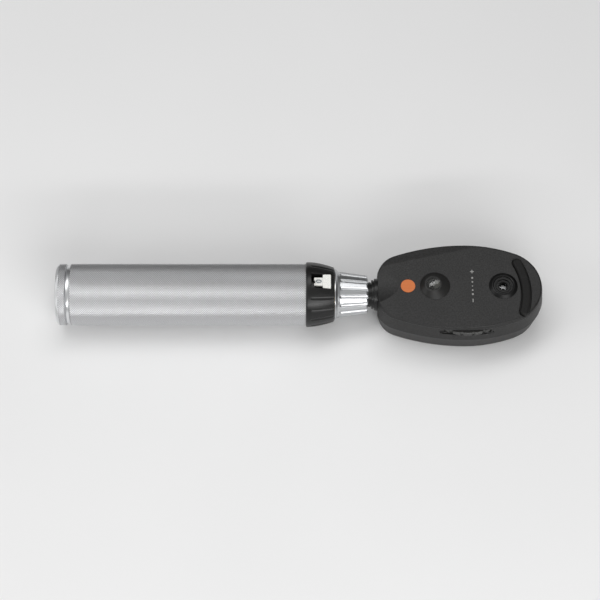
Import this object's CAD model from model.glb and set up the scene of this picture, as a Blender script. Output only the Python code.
import math

import bmesh
import bpy
from mathutils import Matrix, Vector


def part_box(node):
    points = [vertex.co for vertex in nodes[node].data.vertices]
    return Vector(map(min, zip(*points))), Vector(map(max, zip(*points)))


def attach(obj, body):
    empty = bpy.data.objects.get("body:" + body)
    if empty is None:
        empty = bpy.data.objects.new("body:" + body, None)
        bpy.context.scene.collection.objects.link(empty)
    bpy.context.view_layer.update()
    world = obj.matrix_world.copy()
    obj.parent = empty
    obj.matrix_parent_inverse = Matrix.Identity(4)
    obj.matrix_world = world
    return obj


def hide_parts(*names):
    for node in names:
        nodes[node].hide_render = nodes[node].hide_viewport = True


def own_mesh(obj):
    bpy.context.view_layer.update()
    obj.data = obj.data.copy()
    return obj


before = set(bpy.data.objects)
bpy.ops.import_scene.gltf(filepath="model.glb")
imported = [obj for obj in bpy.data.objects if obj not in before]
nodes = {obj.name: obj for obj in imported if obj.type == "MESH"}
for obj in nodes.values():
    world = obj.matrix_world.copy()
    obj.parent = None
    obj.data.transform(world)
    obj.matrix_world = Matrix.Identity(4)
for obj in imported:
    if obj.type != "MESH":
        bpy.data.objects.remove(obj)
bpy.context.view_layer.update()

# ---------------------------------------------------------------- studio
# A pale table top under soft light from tall diffusers, seen from the front and well above by a long lens.
scene = bpy.context.scene
scene.view_settings.view_transform = "Standard"

aim = Vector((0.0, 0.0, 0.010))
camera_elevation = math.radians(63)
camera_distance = 1.05
view_width = 0.292
camera_data = bpy.data.cameras.new("camera")
camera_data.sensor_width = 36
camera_data.lens = 36 * camera_distance / view_width
camera_data.clip_start = 0.05
camera_data.clip_end = 20
camera = bpy.data.objects.new("camera", camera_data)
camera.location = aim + camera_distance * Vector((0, -math.cos(camera_elevation), math.sin(camera_elevation)))
camera.rotation_euler = (math.pi / 2 - camera_elevation, 0, 0)
scene.collection.objects.link(camera)
scene.camera = camera


def soft_light(name, place, size, power, tint=(1, 1, 1)):
    """Rectangular diffuser that faces the instrument."""
    data = bpy.data.lights.new(name, "AREA")
    data.shape = "RECTANGLE"
    data.size, data.size_y = size
    data.energy = power
    data.color = tint
    light = bpy.data.objects.new(name, data)
    light.location = place
    light.rotation_euler = (aim - Vector(place)).to_track_quat("-Z", "Y").to_euler()
    scene.collection.objects.link(light)


soft_light("front_diffuser", (0.35, -0.75, 0.55), (0.7, 0.5), 3.4)
soft_light("top_diffuser", (-0.15, 0.25, 0.95), (1.1, 0.35), 3.6)
soft_light("low_strip", (0.10, -0.80, 0.40), (0.9, 0.06), 2.2)
soft_light("side_diffuser", (-0.85, -0.2, 0.45), (0.5, 0.5), 1.9)

world = bpy.data.worlds.new("room")
world.use_nodes = True
sky = world.node_tree.nodes["Background"]
sky_place = world.node_tree.nodes.new("ShaderNodeTexCoord")
sky_parts = world.node_tree.nodes.new("ShaderNodeSeparateXYZ")
sky_ramp = world.node_tree.nodes.new("ShaderNodeValToRGB")
for position, shade in [(0.3, 0.16), (0.62, 0.5), (0.95, 1.0)]:
    stop = sky_ramp.color_ramp.elements.new(position)
    stop.color = (shade, shade, shade, 1)
sky_ramp.color_ramp.elements[0].color = (0.10, 0.10, 0.10, 1)
world.node_tree.links.new(sky_place.outputs["Generated"], sky_parts.inputs[0])
world.node_tree.links.new(sky_parts.outputs["Z"], sky_ramp.inputs[0])
world.node_tree.links.new(sky_ramp.outputs["Color"], sky.inputs["Color"])
sky.inputs["Strength"].default_value = 0.50
scene.world = world


class Value:
    """One output of a shader node; arithmetic on it adds Math nodes to the same finish."""

    def __init__(self, finish, socket):
        self.finish = finish
        self.socket = socket

    def math(self, operation, *values):
        return self.finish.node("ShaderNodeMath", {"operation": operation}, dict(enumerate(values)))

    def wave(self, pitch):
        """Even lines from 0 to 1, a pitch apart."""
        return 0.5 + 0.5 * self.math("SINE", self * (math.tau / pitch))

    def __add__(self, other):
        return self.math("ADD", self, other)

    def __sub__(self, other):
        return self.math("SUBTRACT", self, other)

    def __mul__(self, other):
        return self.math("MULTIPLY", self, other)

    def __truediv__(self, other):
        return self.math("DIVIDE", self, other)

    def __pow__(self, other):
        return self.math("POWER", self, other)

    def __gt__(self, other):
        return self.math("GREATER_THAN", self, other)

    def __lt__(self, other):
        return self.math("LESS_THAN", self, other)

    def __radd__(self, other):
        return self.math("ADD", other, self)

    def __rsub__(self, other):
        return self.math("SUBTRACT", other, self)

    def __rmul__(self, other):
        return self.math("MULTIPLY", other, self)


class Finish:
    """A material whose shader nodes are made one by one."""

    def __init__(self, name, **constants):
        self.material = bpy.data.materials.new(name)
        self.material.use_nodes = True
        self.tree = self.material.node_tree
        self.shader = self.tree.nodes["Principled BSDF"]
        self.place = self.node("ShaderNodeTexCoord", out="Object")
        for socket, value in constants.items():
            self.set(socket, value)

    def set(self, socket, value):
        """Sets or links a socket of the main shader; its name is given with underscores."""
        self.feed(self.shader.inputs[socket.replace("_", " ")], value)
        return self

    def feed(self, target, value):
        if isinstance(value, Value):
            self.tree.links.new(value.socket, target)
        elif isinstance(value, tuple) and target.type == "RGBA":
            target.default_value = (*value[:3], 1)
        else:
            target.default_value = value

    def node(self, kind, settings=None, inputs=None, out=0):
        """Adds a node, sets it, feeds its sockets by index or name, and returns one of its outputs."""
        made = self.tree.nodes.new(kind)
        for key, value in (settings or {}).items():
            if key == "stops":
                ramp = made.color_ramp
                while len(ramp.elements) < len(value):
                    ramp.elements.new(0.5)
                for element, (position, shade) in zip(ramp.elements, value):
                    element.position = position
                    element.color = (*shade, 1) if isinstance(shade, tuple) else (shade, shade, shade, 1)
            else:
                setattr(made, key, value)
        for key, value in (inputs or {}).items():
            self.feed(made.inputs[key], value)
        return Value(self, made.outputs[out])

    def stretched(self, scale, turn=(0, 0, 0)):
        """Place on the piece, scaled along each axis, in units of one over metres."""
        return self.node("ShaderNodeMapping", {}, {"Vector": self.place, "Scale": scale, "Rotation": turn})

    def noise(self, vector, scale=1.0, detail=3.0, rough=0.5):
        return self.node(
            "ShaderNodeTexNoise", {}, {"Vector": vector, "Scale": scale, "Detail": detail, "Roughness": rough})

    def axis(self, name):
        """One coordinate of the place on the piece, in metres."""
        return self.node("ShaderNodeSeparateXYZ", {}, {"Vector": self.place}, out=name)

    def blend(self, share, low, high):
        """Colour between two, by share."""
        return self.node("ShaderNodeMix", {"data_type": "RGBA"}, {0: share, 6: low, 7: high}, out=2)

    def steps(self, value, stops):
        return self.node("ShaderNodeValToRGB", {"stops": stops}, {0: value})

    def relief(self, height, depth, rounded=None):
        """Surface relief of a height from 0 to 1, with its depth in metres, over edges that may be rounded."""
        sockets = {"Height": height, "Strength": 1.0, "Distance": depth}
        if rounded:
            sockets["Normal"] = rounded
        return self.set("Normal", self.node("ShaderNodeBump", {}, sockets, out="Normal"))


def wear(finish, *names):
    """Gives a finish to pieces of the instrument."""
    for name in names:
        nodes[name].data.materials.clear()
        nodes[name].data.materials.append(finish.material)


table_finish = Finish("table_top", Roughness=0.7)
table_cloud = table_finish.noise(table_finish.place, scale=9.0, detail=2.0)
table_finish.set("Base_Color", table_finish.blend(table_cloud, (0.80, 0.80, 0.80), (0.84, 0.84, 0.84)))
bm = bmesh.new()
bmesh.ops.create_grid(bm, x_segments=2, y_segments=2, size=3.0)
table_mesh = bpy.data.meshes.new("table")
bm.to_mesh(table_mesh)
bm.free()
table = bpy.data.objects.new("table", table_mesh)
table.location.z = -0.0002
table.data.materials.append(table_finish.material)
scene.collection.objects.link(table)


# ---------------------------------------------------------------- barrel
# Brass tube that is gripped and that holds the cells. A crossed knurl is rolled into its whole length before it is
# plated and brushed satin; the rolled points are worn bright and the valleys hold a little grey dust.
barrel_low, barrel_high = (Vector(corner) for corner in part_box("barrel"))
axis_height = (barrel_low.z + barrel_high.z) / 2
grip_radius = (barrel_high.z - barrel_low.z) / 2
bore_radius = grip_radius - 0.0014
knurl_depth = 0.00019
knurl_around = 78
knurl_pitch = 0.00107


def lathed(bm, points, steps, cuts=0):
    """Spins a line of (x, radius) points once round the handle's axis and returns the new faces."""
    corners = [bm.verts.new((x, 0, axis_height + radius)) for x, radius in points]
    line = [bm.edges.new(pair) for pair in zip(corners, corners[1:])]
    if cuts:
        parts = bmesh.ops.subdivide_edges(bm, edges=line, cuts=cuts)["geom"]
        line = list(dict.fromkeys(part for part in parts if isinstance(part, bmesh.types.BMEdge)))
    done = set(bm.faces)
    ends = list(dict.fromkeys(vert for edge in line for vert in edge.verts))
    bmesh.ops.spin(bm, geom=ends + line, cent=(0, 0, axis_height), axis=(1, 0, 0), dvec=(0, 0, 0),
                   angle=math.tau, steps=steps, use_merge=True)
    return [face for face in bm.faces if face not in done]


def rolled_knurl(bm, skin, depth):
    """Turns a lathed grid of faces into pyramids: each face is quartered, the quarters either side of an old edge
    join into a diamond, and every diamond is drawn out to a point."""
    bmesh.ops.recalc_face_normals(bm, faces=skin)
    if skin[-1].normal.dot(skin[-1].calc_center_median() - Vector((skin[-1].verts[0].co.x, 0, axis_height))) < 0:
        bmesh.ops.reverse_faces(bm, faces=skin)
    old = [edge for edge in bm.edges if len(edge.link_faces) == 2]
    bmesh.ops.poke(bm, faces=skin)
    bmesh.ops.dissolve_edges(bm, edges=old)
    diamonds = [face for face in bm.faces if len(face.verts) == 4]
    bmesh.ops.poke(bm, faces=diamonds, offset=depth)


def made_piece(name, bm, body, finish, crease=30):
    """Turns a bmesh into a piece that rides on a body, smooth except across sharp edges."""
    mesh = bpy.data.meshes.new(name)
    bm.to_mesh(mesh)
    bm.free()
    mesh.shade_smooth()
    mesh.set_sharp_from_angle(angle=math.radians(crease))
    piece = bpy.data.objects.new(name, mesh)
    scene.collection.objects.link(piece)
    mesh.materials.append(finish.material)
    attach(piece, body)
    return piece


def from_axis(finish, height):
    """Distance of a place on the piece from a line along X at a height."""
    y, z = finish.axis("Y"), finish.axis("Z")
    return (y * y + (z - height) * (z - height)) ** 0.5


knurl_finish = Finish("rolled_knurl_chrome", Metallic=1.0)
valley = knurl_finish.steps(
    (grip_radius - from_axis(knurl_finish, axis_height)) / knurl_depth, [(0.25, 0.0), (0.95, 1.0)])
handled = knurl_finish.noise(knurl_finish.place, scale=60.0, detail=4.0)
knurl_finish.set("Base_Color", knurl_finish.blend(valley, (0.76, 0.77, 0.78), (0.46, 0.46, 0.47)))
knurl_finish.set("Roughness", 0.24 + 0.12 * handled + 0.2 * valley)

bm = bmesh.new()
cuts = round((barrel_high.x - barrel_low.x) / knurl_pitch) - 1
skin = lathed(bm, [(barrel_low.x, grip_radius - knurl_depth), (barrel_high.x, grip_radius - knurl_depth)],
              knurl_around, cuts)
rolled_knurl(bm, skin, knurl_depth)
lathed(bm, [
    (barrel_low.x, grip_radius - knurl_depth), (barrel_low.x, bore_radius), (barrel_high.x, bore_radius),
    (barrel_high.x, grip_radius - knurl_depth)], knurl_around)
bmesh.ops.remove_doubles(bm, verts=bm.verts, dist=1e-6)
bmesh.ops.recalc_face_normals(bm, faces=bm.faces)
barrel_piece = made_piece("knurled_barrel", bm, "handle", knurl_finish, crease=22)
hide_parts("barrel")


# ---------------------------------------------------------------- bottom cap
# Turned brass cap, plated like the barrel: knurled rim for the fingers, a smooth shoulder, and a threaded boss that
# screws into the barrel. It carries the cells' spring.
cap_low, cap_high = (Vector(corner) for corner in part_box("bottom_cap"))
cap_end = cap_low.x
boss_end = cap_high.x
boss_radius = bore_radius - 0.0006
rim_radius = 0.0149
rim_around = 76
rim_root = rim_radius - knurl_depth
thread_pitch = 0.0015
rim_line = [(0.0001, 0.0131), (0.0005, 0.0139), (0.00125, 0.0145), (0.0021, rim_root), (0.0030, rim_root),
            (0.0039, rim_root), (0.00475, rim_root)]

bm = bmesh.new()
rim = lathed(bm, [(cap_end + x, radius) for x, radius in rim_line], rim_around)
rolled_knurl(bm, rim, knurl_depth)
lathed(bm, [
    (cap_end + 0.0001, 0.0131), (cap_end + 0.00002, 0.0127), (cap_end, 0.0122), (cap_end, 0.0090),
    (cap_end + 0.0004, 0.0086), (cap_end + 0.0004, 0.0002), (cap_end + 0.0022, 0.0002), (cap_end + 0.0022, 0.0119),
    (boss_end, 0.0119), (boss_end, boss_radius - 0.0003), (boss_end - 0.0003, boss_radius),
    (cap_end + 0.00695, boss_radius), (cap_end + 0.00695, 0.0141), (cap_end + 0.00665, 0.01428),
    (cap_end + 0.0060, 0.01436), (cap_end + 0.0054, 0.01430), (cap_end + 0.0050, 0.01405),
    (cap_end + 0.0049, 0.0139), (cap_end + 0.0049, 0.01445), (cap_end + 0.00475, rim_root)], rim_around)
bmesh.ops.remove_doubles(bm, verts=bm.verts, dist=1e-6)
bmesh.ops.holes_fill(bm, edges=[edge for edge in bm.edges if edge.is_boundary], sides=0)
bmesh.ops.recalc_face_normals(bm, faces=bm.faces)
cap_finish = Finish("knurled_cap_chrome", Metallic=1.0)
cap_valley = cap_finish.steps(
    (rim_radius - from_axis(cap_finish, axis_height)) / knurl_depth, [(0.25, 0.0), (0.95, 1.0)])
cap_valley = cap_valley * (from_axis(cap_finish, axis_height) > rim_radius - 0.0003)
turning = cap_finish.noise(cap_finish.stretched((9000.0, 60, 60)), detail=2.0)
cap_finish.set("Base_Color", cap_finish.blend(cap_valley, (0.76, 0.77, 0.78), (0.46, 0.46, 0.47)))
cap_finish.set("Roughness", 0.24 + 0.1 * turning + 0.2 * cap_valley)
cap_piece = made_piece("knurled_cap", bm, "cap", cap_finish, crease=22)
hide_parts("bottom_cap")

bm = bmesh.new()
tooth = [bm.verts.new((cap_end + 0.0083 + x, 0, axis_height + radius)) for x, radius in
         [(-0.00062, boss_radius - 0.0001), (0, bore_radius - 0.00012), (0.00062, boss_radius - 0.0001)]]
bm.faces.new(tooth)
bmesh.ops.spin(bm, geom=list(bm.verts) + list(bm.edges) + list(bm.faces), cent=(0, 0, axis_height), axis=(1, 0, 0),
               dvec=(thread_pitch / 48, 0, 0), angle=math.tau * 4, steps=48 * 4)
bmesh.ops.recalc_face_normals(bm, faces=bm.faces)
thread_piece = made_piece("cap_thread", bm, "cap", cap_finish)


# ---------------------------------------------------------------- cells
# Two C-size cells, one behind the other. Each is a steel can in a printed film jacket that is rolled over the can's
# shoulders, with a nickel button at the front and a dished nickel plate at the back.
cell_edge = 0.0127


def cell_can(bm, start):
    """One cell as a lathed shape, its button towards the head."""
    lathed(bm, [
        (start, 0.0001), (start, 0.0095), (start + 0.0003, 0.0101), (start + 0.0007, 0.0104),
        (start + 0.0007, 0.0112), (start + 0.0002, 0.0116), (start + 0.0003, 0.0124), (start + 0.0009, cell_edge + 0.0001),
        (start + 0.0020, cell_edge + 0.0002), (start + 0.0464, cell_edge + 0.0002),
        (start + 0.0474, cell_edge), (start + 0.0479, 0.0122), (start + 0.0480, 0.0116), (start + 0.0476, 0.0110),
        (start + 0.0478, 0.0065), (start + 0.0483, 0.0060), (start + 0.0483, 0.0036), (start + 0.0488, 0.0031),
        (start + 0.0495, 0.0029), (start + 0.0498, 0.0024), (start + 0.0498, 0.0001)], 64)
    bmesh.ops.holes_fill(bm, edges=[edge for edge in bm.edges if edge.is_boundary], sides=0)
    bmesh.ops.recalc_face_normals(bm, faces=bm.faces)


for cell_name in ("cell_front", "cell_rear"):
    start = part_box(cell_name)[0][0]
    jacket_finish = Finish(cell_name + "_jacket")
    radius = from_axis(jacket_finish, axis_height)
    along = jacket_finish.axis("X") - start
    film = (radius > 0.0118) * (1 - (along > 0.0479))
    band = (along > 0.034) * film
    hairline = (along > 0.0328) * (along < 0.0334) * film
    scuff = jacket_finish.steps(jacket_finish.noise(jacket_finish.stretched((900, 160, 160)), detail=5.0), [
        (0.55, 0.0), (0.75, 1.0)])
    colour = jacket_finish.blend(film, (0.62, 0.61, 0.58), (0.045, 0.05, 0.06))
    colour = jacket_finish.blend(band, colour, (0.05, 0.16, 0.34))
    colour = jacket_finish.blend(hairline, colour, (0.7, 0.7, 0.7))
    jacket_finish.set("Base_Color", jacket_finish.blend(scuff * film * 0.3, colour, (0.35, 0.36, 0.38)))
    jacket_finish.set("Metallic", 1.0 - film * 0.6)
    jacket_finish.set("Roughness", 0.28 + 0.25 * scuff)
    bm = bmesh.new()
    cell_can(bm, start)
    cell_piece = made_piece(cell_name + "_can", bm, "handle", jacket_finish)
    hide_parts(cell_name)


# ---------------------------------------------------------------- cell spring
# Compression spring of round steel wire that stands on a brass disc in the cap and presses the cells forward. The
# wire is drawn, so its lines run along it; the disc is stamped and tarnished where the cap was handled.
def turned_metal(name, tone, roughness, lines=9000.0, tarnish=None):
    """Metal with the fine rings a lathe or a die leaves round the instrument's axis."""
    made = Finish(name, Metallic=1.0)
    rings = made.noise(made.stretched((lines, 60, 60)), detail=2.0)
    cloud = made.noise(made.place, scale=140.0, detail=4.0)
    stain = made.steps(made.noise(made.place, scale=420.0, detail=5.0, rough=0.65), [(0.52, 0.0), (0.72, 1.0)])
    clean = made.blend(cloud, tuple(c * 0.92 for c in tone), tone)
    made.set("Base_Color", made.blend(stain * 0.55, clean, tarnish or tuple(c * 0.6 for c in tone)))
    made.set("Roughness", roughness - 0.06 + 0.12 * cloud + 0.12 * stain)
    made.relief(rings, 0.000003)
    return made


spring_finish = turned_metal("drawn_spring_wire", (0.42, 0.42, 0.43), 0.30, lines=3000.0, tarnish=(0.20, 0.18, 0.16))
plate_finish = turned_metal("stamped_brass", (0.72, 0.53, 0.25), 0.30, lines=2600.0, tarnish=(0.33, 0.20, 0.09))
wear(spring_finish, "battery_spring", "detent_spring")
wear(plate_finish, "spring_plate", "wiper")


# ---------------------------------------------------------------- collar
# Black moulded collar that joins the barrel to the control ring. It is screwed into the barrel, and has shallow
# finger flutes, a smooth band at the back and a pocket for the lock button; its edges are polished by hands.
def moulding(name, tone, roughness, grain=4200.0, depth=0.000006, edge=0.00016, polish=0.6, sheen=0.32,
             speckle=0.0):
    """Plastic with the eroded grain of its mould, and edges rounded and rubbed smooth by use."""
    made = Finish(name, Specular_IOR_Level=sheen)
    fine = made.noise(made.place, scale=grain, detail=2.0, rough=0.6)
    cloud = made.noise(made.place, scale=70.0, detail=4.0)
    dust = made.steps(made.noise(made.place, scale=380.0, detail=6.0, rough=0.7), [(0.55, 0.0), (0.80, 1.0)])
    rounded = made.node("ShaderNodeBevel", {"samples": 6}, {"Radius": edge}, out="Normal")
    flat = made.node("ShaderNodeNewGeometry", out="Normal")
    rubbed = 1 - made.node("ShaderNodeVectorMath", {"operation": "DOT_PRODUCT"}, {0: rounded, 1: flat}, out="Value")
    rubbed = made.steps(rubbed * 8.0, [(0.0, 0.0), (1.0, 1.0)])
    shade = made.blend(cloud, tuple(c * 0.84 for c in tone), tuple(c * 1.14 for c in tone))
    pitted = made.steps(made.noise(made.place, scale=grain * 0.55, detail=3.0, rough=0.7), [(0.36, 0.0), (0.64, 1.0)])
    shade = made.blend(pitted, shade, tuple(c * 1.5 + speckle for c in tone))
    shade = made.blend(dust * 0.10, shade, tuple(c * 0.5 + 0.10 for c in tone))
    made.set("Base_Color", made.blend(rubbed * polish * 0.35, shade, tuple(c * 0.6 + 0.12 for c in tone)))
    made.set("Roughness", roughness - 0.05 + 0.08 * cloud + 0.05 * fine - 0.12 * polish * rubbed)
    made.relief(fine, depth, rounded)
    return made


collar_finish = moulding("collar_moulding", (0.0075, 0.0075, 0.0073), 0.30, grain=5200.0, depth=0.000002)
wear(collar_finish, "collar")


# ---------------------------------------------------------------- core tube and contacts
# Plated tube inside the collar on which the control ring turns, with the resistance track on a fibre disc behind
# the ring, the ring's sprung brass wiper, and the gold-plated pin that touches the front cell through its bush.
core_finish = turned_metal("plated_core", (0.66, 0.65, 0.62), 0.20)
wear(core_finish, "bayonet_ring")
flange_finish = turned_metal("blackened_core", (0.035, 0.035, 0.035), 0.38, tarnish=(0.09, 0.085, 0.08))
wear(flange_finish, "core_tube")

track_finish = Finish("resistance_track", Roughness=0.55)
track_ring = from_axis(track_finish, axis_height)
track = (track_ring > 0.0078) * (track_ring < 0.0096)
fibre = track_finish.noise(track_finish.stretched((60, 700, 700)), detail=5.0)
track_finish.set("Base_Color", track_finish.blend(
    track, track_finish.blend(fibre, (0.20, 0.10, 0.045), (0.30, 0.16, 0.075)), (0.012, 0.012, 0.013)))
wear(track_finish, "track_disc")

pin_finish = turned_metal("gold_flash", (0.86, 0.62, 0.27), 0.20, tarnish=(0.50, 0.30, 0.10))
wear(pin_finish, "contact_pin")


def cast_insulator(name, low, high):
    """Filled resin, clouded and slightly waxy."""
    made = Finish(name)
    cloud = made.noise(made.place, scale=520.0, detail=6.0, rough=0.6)
    speck = made.steps(made.noise(made.place, scale=2600.0, detail=3.0), [(0.60, 0.0), (0.70, 1.0)])
    made.set("Base_Color", made.blend(speck * 0.4, made.blend(cloud, low, high), tuple(c * 0.5 for c in low)))
    made.set("Roughness", 0.38 + 0.18 * cloud)
    made.relief(cloud, 0.000008)
    return made


bush_finish = cast_insulator("contact_bush_resin", (0.40, 0.33, 0.22), (0.52, 0.44, 0.31))
wear(bush_finish, "contact_bush")


# ---------------------------------------------------------------- lock button
# White moulded T-shaped button on its own little spring: the wide pad is pressed by the thumb, and the figure 0 on
# its tab shows that the ring is locked off.
button_finish = moulding("button_moulding", (0.66, 0.66, 0.63), 0.34, grain=5200.0, depth=0.000002, polish=0.1)
wear(button_finish, "lock_button")


def lettered(bm, text, size, place):
    """Adds a printed figure to a bmesh as a thin film whose underside lies in the plane that a matrix gives."""
    curve = bpy.data.curves.new("figure", "FONT")
    curve.body = text
    curve.size = size
    curve.extrude = 0.000015
    curve.resolution_u = 3
    curve.align_x = "CENTER"
    curve.align_y = "CENTER"
    letter = bpy.data.objects.new("figure", curve)
    mesh = bpy.data.meshes.new_from_object(letter)
    bpy.data.objects.remove(letter)
    mesh.transform(place @ Matrix.Translation((0, 0, curve.extrude)))
    bm.from_mesh(mesh)
    bpy.data.meshes.remove(mesh)
    bmesh.ops.remove_doubles(bm, verts=bm.verts, dist=1e-7)
    bmesh.ops.recalc_face_normals(bm, faces=bm.faces)


spring_low, spring_high = (Vector(corner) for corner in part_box("button_spring"))
spring_middle = (spring_low + spring_high) / 2
spring_wire = 0.00016
spring_turns, spring_steps = 3, 28
bm = bmesh.new()
bmesh.ops.create_circle(bm, radius=spring_wire, segments=10, matrix=Matrix.Translation(
    (spring_middle.x + 0.0013, 0, spring_low.z + spring_wire)) @ Matrix.Rotation(math.pi / 2, 4, "X"))
bmesh.ops.spin(bm, geom=list(bm.verts) + list(bm.edges), cent=(spring_middle.x, 0, spring_low.z), axis=(0, 0, 1),
               dvec=(0, 0, (spring_high.z - spring_low.z - 2 * spring_wire) / (spring_turns * spring_steps)),
               angle=math.tau * spring_turns, steps=spring_turns * spring_steps)
bmesh.ops.holes_fill(bm, edges=[edge for edge in bm.edges if edge.is_boundary], sides=0)
bmesh.ops.recalc_face_normals(bm, faces=bm.faces)
button_coil = made_piece("button_coil", bm, "handle", spring_finish)
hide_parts("button_spring")
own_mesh(button_coil)

ink_finish = Finish("printing_ink", Roughness=0.45)
ink_cloud = ink_finish.noise(ink_finish.place, scale=2400.0, detail=3.0)
ink_finish.set("Base_Color", ink_finish.blend(ink_cloud, (0.10, 0.13, 0.17), (0.16, 0.19, 0.23)))
button_low, button_high = (Vector(corner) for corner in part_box("lock_button"))
bm = bmesh.new()
lettered(bm, "0", 0.0040, Matrix.Translation((button_low.x + 0.0020, 0, button_high.z))
         @ Matrix.Rotation(-math.pi / 2, 4, "Z"))
zero_piece = made_piece("button_zero", bm, "button", ink_finish)


# ---------------------------------------------------------------- control ring
# Turned ring that the fingers twist to set the brightness. Deep round-ended flutes are milled round it, and it is
# plated satin; the lands are brighter where it is held.
ring_finish = Finish("satin_plated_ring", Metallic=1.0)
ring_rings = ring_finish.noise(ring_finish.stretched((12000.0, 40, 40)), detail=2.0)
ring_cloud = ring_finish.noise(ring_finish.place, scale=110.0, detail=4.0)
ring_rounded = ring_finish.node("ShaderNodeBevel", {"samples": 6}, {"Radius": 0.00025}, out="Normal")
ring_finish.set("Base_Color", ring_finish.blend(ring_cloud, (0.50, 0.51, 0.52), (0.60, 0.61, 0.62)))
ring_finish.set("Roughness", 0.23 + 0.10 * ring_cloud + 0.05 * ring_rings)
ring_finish.relief(ring_rings, 0.0000025, ring_rounded)
wear(ring_finish, "control_ring")


# ---------------------------------------------------------------- head stem
# Plated brass tube that plugs into the control ring and carries the head. Its two slots take the ring's bayonet
# lugs, and the lamp slides into its bore from the end.
stem_finish = turned_metal("satin_stem", (0.68, 0.69, 0.70), 0.22, lines=11000.0)
wear(stem_finish, "stem")


# ---------------------------------------------------------------- neck sleeve
# Black turned ring with two beads, pressed over the stem between the ring's mouth and the housing.
sleeve_finish = moulding("neck_sleeve_black", (0.0085, 0.0085, 0.0085), 0.32, grain=5200.0, depth=0.000002)
wear(sleeve_finish, "neck_sleeve")


# ---------------------------------------------------------------- lamp
# Halogen lamp: a gold-plated brass body with a turned flange, a rounded centre pin held in a cream insulator, and a
# glass bulb with a lens tip round a tungsten coil on two support wires.
lamp_finish = turned_metal("lamp_gold_plate", (0.88, 0.64, 0.28), 0.17, tarnish=(0.55, 0.33, 0.11))
wear(lamp_finish, "lamp_base", "lamp_pin")
insulator_finish = cast_insulator("lamp_insulator_resin", (0.55, 0.50, 0.40), (0.68, 0.63, 0.52))
wear(insulator_finish, "lamp_insulator")


def clear_glass(name, tint):
    """Polished glass with a few faint dust specks."""
    made = Finish(name, Transmission_Weight=1.0, IOR=1.52)
    speck = made.steps(made.noise(made.place, scale=2400.0, detail=3.0), [(0.76, 0.0), (0.82, 1.0)])
    made.set("Base_Color", made.blend(speck * 0.5, tint, tuple(c * 0.8 for c in tint)))
    made.set("Roughness", 0.015 + 0.10 * speck)
    return made


bulb_finish = clear_glass("lamp_bulb_glass", (0.96, 0.97, 0.97))
wear(bulb_finish, "lamp_glass")

lamp_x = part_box("lamp_filament")[1][0]
bm = bmesh.new()
bmesh.ops.create_circle(bm, radius=0.00006, segments=8, matrix=Matrix.Translation(
    (lamp_x - 0.00024, -0.00095, axis_height + 0.00017)) @ Matrix.Rotation(math.pi / 2, 4, "X"))
wire_ring = list(bm.verts) + list(bm.edges)
bmesh.ops.spin(bm, geom=wire_ring, cent=(lamp_x - 0.00024, 0, axis_height), axis=(0, 1, 0),
               dvec=(0, 0.0019 / (12 * 20), 0), angle=math.tau * 12, steps=12 * 20)
bmesh.ops.holes_fill(bm, edges=[edge for edge in bm.edges if edge.is_boundary], sides=0)
for side in (-1, 1):
    bmesh.ops.create_cone(
        bm, cap_ends=True, segments=10, radius1=0.00013, radius2=0.00011, depth=0.0064,
        matrix=Matrix.Translation((lamp_x - 0.00344, side * 0.0009, axis_height)) @ Matrix.Rotation(
            math.pi / 2, 4, "Y"))
bmesh.ops.recalc_face_normals(bm, faces=bm.faces)
tungsten_finish = turned_metal("tungsten_wire", (0.36, 0.35, 0.34), 0.30, tarnish=(0.16, 0.14, 0.13))
filament_piece = made_piece("filament_coil", bm, "head", tungsten_finish)
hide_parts("lamp_filament")


# ---------------------------------------------------------------- housing
# Two black glass-filled mouldings, a deep rear shell and a cover that carries the face, screwed together at a thin
# seam. Both keep the fine eroded grain of the mould, and their edges are rubbed by pockets and cases.
housing_finish = moulding("housing_moulding", (0.0070, 0.0068, 0.0066), 0.44, grain=2700.0, depth=0.00003,
                          edge=0.00042, speckle=0.012)
wear(housing_finish, "back_cover", "front_shell")
screw_finish = turned_metal("blackened_screws", (0.09, 0.09, 0.09), 0.34, tarnish=(0.20, 0.19, 0.18))
wear(screw_finish, "cover_screws", "carrier_screws", "detent_screw")


# ---------------------------------------------------------------- optics carrier
# Black ribbed moulding inside the shell that holds the optical train; its light bore is matt against stray light.
carrier_finish = moulding("optics_black", (0.010, 0.010, 0.010), 0.62, grain=2200.0, depth=0.00002, polish=0.2)
wear(carrier_finish, "optics_carrier")


# ---------------------------------------------------------------- lenses and mirror
# Ground and coated glass: condenser and projection lens in the light bore, and the small prism that is silvered on
# its slope and turns the light out through the front window.
optic_finish = clear_glass("coated_glass", (0.93, 0.95, 0.98))
wear(optic_finish, "condenser_lens", "projection_lens", "window_glass", "port_glass", "wheel_lenses")
silvering = Finish("prism_silvering", Metallic=1.0)
silver_cloud = silvering.noise(silvering.place, scale=600.0, detail=4.0)
silvering.set("Base_Color", silvering.blend(silver_cloud, (0.86, 0.87, 0.88), (0.94, 0.94, 0.94)))
silvering.set("Roughness", 0.02 + 0.05 * silver_cloud)
wear(silvering, "mirror_prism")


# ---------------------------------------------------------------- aperture wheel and filter
# Thin black wheel with the light spots' shapes stamped through it, turned on a steel pin, and a sliding tab that
# carries the red-free green filter into the beam.
wheel_finish = moulding("wheel_black", (0.026, 0.026, 0.025), 0.34, grain=5200.0, depth=0.000002, polish=0.9)
wear(wheel_finish, "aperture_wheel", "filter_slide", "lens_wheel")
axle_finish = turned_metal("ground_steel", (0.60, 0.60, 0.61), 0.16, lines=14000.0)
wear(axle_finish, "aperture_axle", "wheel_axle", "detent_ball")
filter_finish = clear_glass("green_filter_glass", (0.10, 0.62, 0.20))
wear(filter_finish, "filter_glass")


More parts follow.
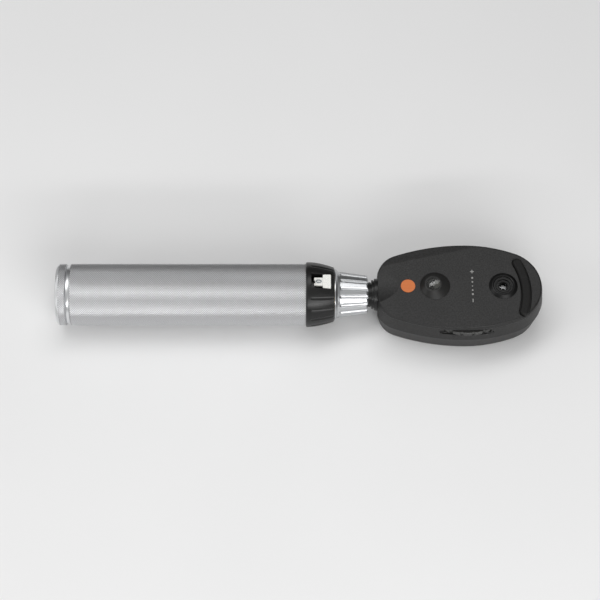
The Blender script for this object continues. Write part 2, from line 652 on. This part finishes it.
# ---------------------------------------------------------------- lens wheel and its numbers
# Black wheel of correction lenses that the forefinger turns at the two openings of the rim. A white printed ring on
# its front face carries each lens's power, black for plus and red for minus, and one shows under the dial's dome.
ring_white = Finish("number_ring_white", Roughness=0.38)
white_cloud = ring_white.noise(ring_white.place, scale=260.0, detail=5.0)
white_speck = ring_white.steps(
    ring_white.noise(ring_white.place, scale=3200.0, detail=3.0), [(0.62, 0.0), (0.70, 1.0)])
ring_white.set("Base_Color", ring_white.blend(
    white_speck * 0.25, ring_white.blend(white_cloud, (0.70, 0.69, 0.64), (0.78, 0.77, 0.73)), (0.30, 0.29, 0.27)))
wear(ring_white, "number_ring")

ring_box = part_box("number_ring")
wheel_x = (ring_box[0][0] + ring_box[1][0]) / 2
ring_top = ring_box[1][2]
powers = [0, 1, 2, 3, 4, 5, 6, 7, 8, 9, 10, 15, 20, 40, -35, -25, -20, -15, -10, -9, -8, -7, -6, -5, -4, -3, -2, -1]
power_inks = {"plus": (0.012, 0.012, 0.014), "minus": (0.50, 0.020, 0.016)}
for sign, ink in power_inks.items():
    bm = bmesh.new()
    for place, power in enumerate(powers):
        if (power < 0) == (sign == "minus"):
            quarter_turn = Matrix.Rotation(-math.pi / 2, 4, "Z")
            out = Matrix.Translation((wheel_x, 0, 0)) @ Matrix.Rotation(math.tau * place / len(powers), 4, "Z")
            lettered(bm, str(abs(power)), 0.0020, out @ Matrix.Translation((-0.0150, 0, ring_top)) @ quarter_turn)
    power_ink = Finish("power_ink_" + sign, Roughness=0.5)
    ink_wear = power_ink.noise(power_ink.place, scale=3000.0, detail=3.0)
    power_ink.set("Base_Color", power_ink.blend(ink_wear, ink, tuple(c * 1.6 + 0.01 for c in ink)))
    numbers = made_piece("power_numbers_" + sign, bm, "lens_disc", power_ink)


# ---------------------------------------------------------------- viewing port
# Turned black insert in the cover that the eye is put to: a ridge, a funnel of fine steps against glare, and a small
# window of glass at the bottom.
port_finish = Finish("turned_port_black", Specular_IOR_Level=0.25)
port_place = port_finish.node("ShaderNodeMapping", {}, {
    "Vector": port_finish.place, "Location": (-sum(corner[0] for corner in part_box("port_insert")) / 2, 0, 0)})
port_parts = [port_finish.node("ShaderNodeSeparateXYZ", {}, {"Vector": port_place}, out=name) for name in "XY"]
port_radius = (port_parts[0] * port_parts[0] + port_parts[1] * port_parts[1]) ** 0.5
port_cloud = port_finish.noise(port_finish.place, scale=300.0, detail=4.0)
port_rounded = port_finish.node("ShaderNodeBevel", {"samples": 6}, {"Radius": 0.00015}, out="Normal")
port_finish.set("Base_Color", port_finish.blend(port_cloud, (0.004, 0.004, 0.004), (0.008, 0.008, 0.008)))
port_finish.set("Roughness", 0.30 + 0.10 * port_cloud)
port_finish.relief(port_radius.wave(0.00022), 0.000004, port_rounded)
wear(port_finish, "port_insert")


# ---------------------------------------------------------------- dial turret
# Smooth matt cone moulded for the cover, with a polished acrylic dome glued in its top that magnifies one number of
# the wheel below.
turret_finish = moulding("dial_turret_matt", (0.0125, 0.0122, 0.0118), 0.42, grain=5200.0, depth=0.000003,
                         edge=0.0004)
wear(turret_finish, "dial_turret")
dome_finish = clear_glass("dial_dome", (0.97, 0.97, 0.95))
wear(dome_finish, "dial_lens")


# ---------------------------------------------------------------- patient window
# Black bezel pressed into the rear shell round the window that the light leaves by.
bezel_finish = moulding("window_bezel", (0.014, 0.014, 0.014), 0.26, grain=5200.0, depth=0.000002)
wear(bezel_finish, "window_frame")


# ---------------------------------------------------------------- brow rest
# Soft black rubber crescent moulded into a groove at the top of the face, matt and a little dusty.
rest_finish = moulding("brow_rest_rubber", (0.0075, 0.0073, 0.0071), 0.60, grain=2600.0, depth=0.000012, edge=0.0003,
                       polish=0.25, sheen=0.22)
wear(rest_finish, "brow_rest")


# ---------------------------------------------------------------- badge
# Plain round inlay of orange enamel on a brushed disc, pressed into the face at the neck end and lacquered.
badge_finish = Finish("orange_enamel", Roughness=0.36, Specular_IOR_Level=0.22, Coat_Weight=0.08, Coat_Roughness=0.12)
badge_cloud = badge_finish.noise(badge_finish.stretched((120, 1900, 1)), detail=3.0)
badge_flake = badge_finish.noise(badge_finish.place, scale=5200.0, detail=2.0)
badge_finish.set("Base_Color", badge_finish.blend(badge_cloud, (0.47, 0.120, 0.026), (0.58, 0.165, 0.038)))
badge_finish.set("Metallic", 0.06 + 0.12 * badge_flake)
badge_finish.relief(badge_cloud, 0.000003)
wear(badge_finish, "badge")


# ---------------------------------------------------------------- printed scale
# Pad-printed minus sign, row of dots and plus sign across the middle of the face, which say which way the wheel
# turns for minus and plus lenses.
face_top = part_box("back_cover")[1][2]
scale_x = wheel_x + 0.0028
scale_height = 0.00003
bm = bmesh.new()
bars = [(0, -0.0078, 0.00042, 0.0018), (0, 0.0078, 0.00042, 0.0018)]
bars += [(side * 0.00057, 0.0078, 0.00068, 0.00042) for side in (-1, 1)]
for shift, middle, along, across in bars:
    bmesh.ops.create_cube(bm, size=1.0, matrix=Matrix.Translation(
        (scale_x + shift, middle, face_top + scale_height / 2)) @ Matrix.Diagonal((along, across, scale_height, 1)))
for count in range(-2, 3):
    dot = 0.00030 + 0.00010 * abs(count)
    bmesh.ops.create_cone(bm, cap_ends=True, segments=20, radius1=dot, radius2=dot, depth=scale_height,
                          matrix=Matrix.Translation((scale_x, count * 0.0022, face_top + scale_height / 2)))
bmesh.ops.recalc_face_normals(bm, faces=bm.faces)
print_finish = Finish("face_print", Roughness=0.5)
print_cloud = print_finish.noise(print_finish.place, scale=1800.0, detail=4.0)
print_finish.set("Base_Color", print_finish.blend(print_cloud, (0.22, 0.22, 0.21), (0.34, 0.34, 0.33)))
scale_piece = made_piece("face_scale", bm, "head", print_finish)
